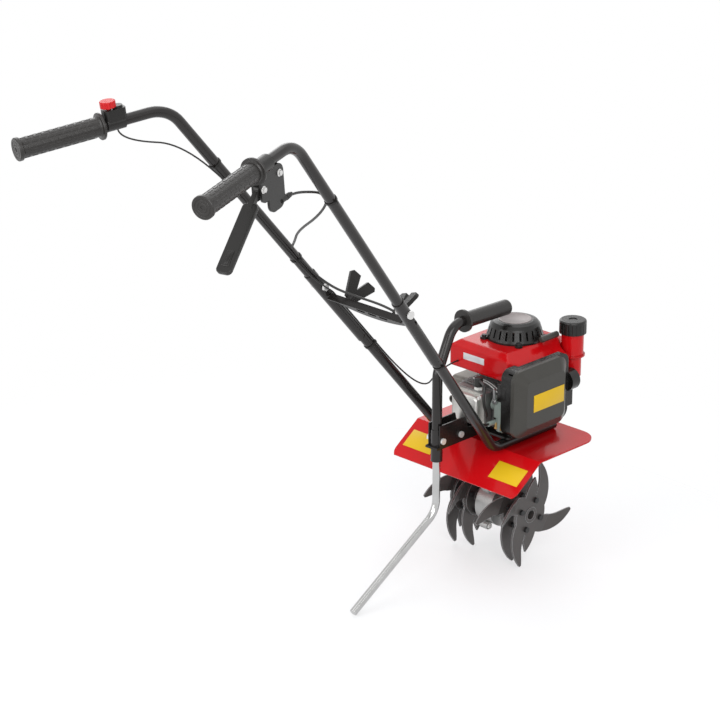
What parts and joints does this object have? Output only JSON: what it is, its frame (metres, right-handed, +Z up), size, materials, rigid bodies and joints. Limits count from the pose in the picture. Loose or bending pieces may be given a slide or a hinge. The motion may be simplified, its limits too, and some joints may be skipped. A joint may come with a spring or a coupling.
{
  "type": "garden tiller",
  "caption": "Small walk-behind garden tiller: vertical-shaft engine over a worm gearbox and tine rotor, with folding handles, carry handle and drag bar.",
  "frame": {"origin": "bottom centre of the whole machine's box, on the ground", "axes": "+X to the machine's right, +Y forward, +Z up"},
  "size_m": [0.5256, 1.1742, 1.0978],
  "materials": {
    "tine_steel": "dark sprung steel, worn at the tips",
    "steel": "machined steel",
    "bolt_steel": "bright zinc fasteners",
    "bronze": "machined bronze",
    "cast_aluminium": "fine cast aluminium",
    "dark_aluminium": "dark finned castings",
    "black_paint": "satin black paint",
    "black_sheet": "satin black paint on sheet",
    "red_plastic": "glossy red",
    "black_plastic": "grained black",
    "red_paint": "glossy red paint on sheet",
    "red_knob": "red",
    "grip_rubber": "ribbed black rubber",
    "cable_sheath": "black cable sheath",
    "plated": "bright plating",
    "heat_steel": "heat-tinted pressed steel",
    "foam": "dark filter foam",
    "ceramic": "white insulator and steel shell",
    "rope": "woven starter rope"
  },
  "bodies": {
    "frame": {"gear_case_right": "cast_aluminium", "gear_case_left": "cast_aluminium", "case_bolts": "bolt_steel", "bearings": "steel", "clutch_housing": "cast_aluminium", "crankcase": "cast_aluminium", "cylinder": "dark_aluminium", "rocker_cover": "black_plastic", "fan_shroud": "red_plastic", "fuel_tank": "red_plastic", "recoil_cover": "black_plastic", "recoil_screws": "bolt_steel", "carburettor": "cast_aluminium", "air_cleaner_base": "black_plastic", "air_filter": "foam", "air_cleaner_cover": "black_plastic", "muffler": "heat_steel", "spark_plug": "ceramic", "plug_cap": "cable_sheath", "fender": "red_paint", "frame_bolts": "bolt_steel", "bed_plate": "black_sheet", "bracket_plates": "black_sheet", "carry_handle": "black_paint", "carry_grip": "grip_rubber", "lower_tubes": "black_paint", "lower_brace": "black_sheet", "pivot_bolts": "bolt_steel", "throttle_cable_lower": "cable_sheath", "switch_wire_lower": "cable_sheath", "lower_cable_ties": "black_plastic"},
    "rotor": {"outer_tines": "tine_steel", "inner_tines": "tine_steel", "tine_hubs": "tine_steel", "tine_bolts": "bolt_steel", "tine_shaft": "steel", "worm_wheel": "bronze"},
    "worm": {"worm_shaft": "steel", "clutch_drum": "steel"},
    "crank": {"crankshaft": "steel", "clutch_shoes": "steel", "flywheel": "cast_aluminium"},
    "handle": {"upper_tubes": "black_paint", "upper_brace": "black_sheet", "handle_grips": "grip_rubber", "throttle_bracket": "black_plastic", "switch_housing": "black_plastic", "throttle_cable_upper": "cable_sheath", "switch_wire_upper": "cable_sheath", "upper_cable_ties": "black_plastic"},
    "right_knob": {"wing_knob_right": "black_plastic"},
    "left_knob": {"wing_knob_left": "black_plastic"},
    "throttle": {"throttle_lever": "black_plastic"},
    "switch": {"switch_knob": "red_knob"},
    "cap": {"fuel_cap": "black_plastic"},
    "choke": {"choke_lever": "steel"},
    "starter": {"starter_grip": "black_plastic", "starter_rope": "rope"},
    "reel": {"recoil_reel": "black_plastic"},
    "drag": {"drag_bar": "plated"}
  },
  "joints": [
    {"name": "rotor_spin", "type": "hinge", "parent": "frame", "child": "rotor", "pos_m": [0, 0.43706, 0.11183], "axis": [1, 0, 0], "continuous": true},
    {"name": "worm_spin", "type": "hinge", "parent": "frame", "child": "worm", "pos_m": [0, 0.48206, 0.14983], "axis": [0, 0, 1], "continuous": true},
    {"name": "crank_spin", "type": "hinge", "parent": "frame", "child": "crank", "pos_m": [0, 0.48206, 0.34983], "axis": [0, 0, 1], "continuous": true},
    {"name": "handle_fold", "type": "hinge", "parent": "frame", "child": "handle", "pos_m": [0, 0.03686, 0.6583], "axis": [-1, 0, 0], "range_deg": [0, 125]},
    {"name": "right_knob_turn", "type": "hinge", "parent": "frame", "child": "right_knob", "pos_m": [0.062, 0.06021, 0.6296], "axis": [0, 0.7757, 0.6311], "continuous": true},
    {"name": "left_knob_turn", "type": "hinge", "parent": "frame", "child": "left_knob", "pos_m": [-0.062, 0.06021, 0.6296], "axis": [0, 0.7757, 0.6311], "continuous": true},
    {"name": "throttle_squeeze", "type": "hinge", "parent": "handle", "child": "throttle", "pos_m": [0.19448, -0.4102, 1.01663], "axis": [-0.9632, -0.2687, 0], "range_deg": [0, 36], "stiffness_Nm_per_rad": 2.5, "springref_deg": -6.88},
    {"name": "switch_turn", "type": "hinge", "parent": "handle", "child": "switch", "pos_m": [-0.19418, -0.40914, 1.0903], "axis": [-0.0325, -0.1164, 0.9927], "range_deg": [0, 60]},
    {"name": "fuel_cap_turn", "type": "hinge", "parent": "frame", "child": "cap", "pos_m": [0.088, 0.55906, 0.48983], "axis": [0, 0, 1], "continuous": true},
    {"name": "choke_turn", "type": "hinge", "parent": "frame", "child": "choke", "pos_m": [0.06, 0.35706, 0.37583], "axis": [0, 1, 0], "range_deg": [0, 55]},
    {"name": "starter_pull", "type": "slide", "parent": "frame", "child": "starter", "axis": [1, 0, 0], "range_m": [0, 0.5], "stiffness_N_per_m": 8, "springref_m": -0.4, "deforming": ["starter_rope"]},
    {"name": "reel_spin", "type": "hinge", "parent": "frame", "child": "reel", "pos_m": [0, 0.48206, 0.47383], "axis": [0, 0, 1], "range_deg": [-1310, 0]},
    {"name": "drag_bar_slide", "type": "slide", "parent": "frame", "child": "drag", "axis": [0, 0, 1], "range_m": [-0.05, 0]}
  ],
  "couplings": [
    {"joint": "worm_spin", "follows": "rotor_spin", "ratio": -26},
    {"joint": "reel_spin", "follows": "starter_pull", "rad_per_m": -45.455}
  ]
}
